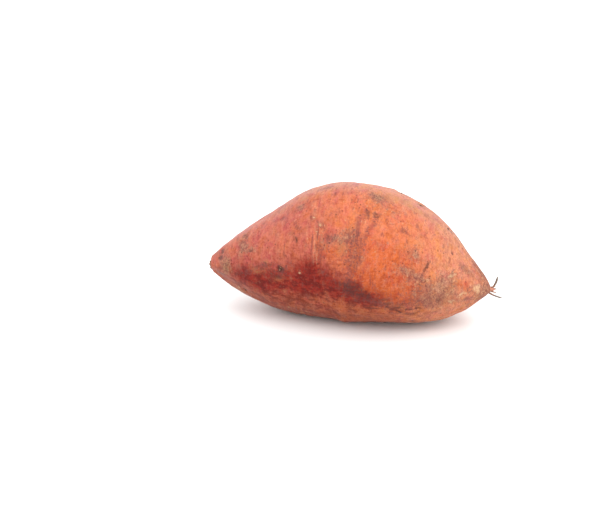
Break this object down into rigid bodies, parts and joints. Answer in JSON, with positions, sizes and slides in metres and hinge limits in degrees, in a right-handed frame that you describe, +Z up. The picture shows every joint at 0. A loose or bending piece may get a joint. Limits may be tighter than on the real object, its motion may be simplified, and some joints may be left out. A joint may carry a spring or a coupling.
{
  "type": "sweet potato",
  "caption": "Whole raw sweet potato lying on its belly: a plump spindle of orange-red skin with eyes, a ring crease, a stem scar and dried rootlets at the tail.",
  "frame": {"origin": "middle of the footprint box, on the surface that the root lies on", "axes": "+X along the root from the stem end to the tail, -Y towards the side that the picture shows, +Z up"},
  "size_m": [0.1698, 0.0868, 0.0798],
  "materials": {
    "skin": "raw periderm, satin to matt, mottled orange and red",
    "rootlets": "dry brown fibre, matt"
  },
  "bodies": {
    "root": {"sweet_potato": "skin"}
  },
  "joints": []
}
